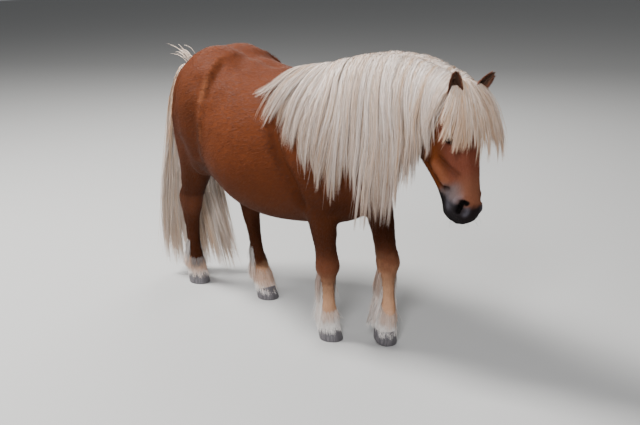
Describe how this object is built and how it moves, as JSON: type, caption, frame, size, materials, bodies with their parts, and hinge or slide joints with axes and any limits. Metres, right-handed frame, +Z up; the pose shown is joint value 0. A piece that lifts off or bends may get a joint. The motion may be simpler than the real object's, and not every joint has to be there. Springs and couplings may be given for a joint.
{
  "type": "shetland pony",
  "caption": "Shetland pony standing in mid stride with its head lowered a little, with a long full mane, forelock and tail and feathered heels.",
  "frame": {"origin": "on the floor, under the middle of the bounding box", "axes": "+X the way the pony faces, +Y its left side, +Z up"},
  "size_m": [1.6478, 0.5564, 1.0579],
  "materials": {
    "coat": "short chestnut fur",
    "hair": "long flaxen hair",
    "horn": "dark grey horn, satin",
    "eye": "wet dark brown"
  },
  "bodies": {
    "root": {"head": "coat", "neck": "coat", "torso": "coat", "leg_right_fore": "coat", "leg_left_fore": "coat", "leg_right_hind": "coat", "leg_left_hind": "coat", "ear_right": "coat", "ear_left": "coat", "mane": "hair", "forelock": "hair", "tail": "hair", "hoof_right_fore": "horn", "hoof_left_fore": "horn", "hoof_right_hind": "horn", "hoof_left_hind": "horn", "eye_right": "eye", "eye_left": "eye"}
  },
  "joints": []
}
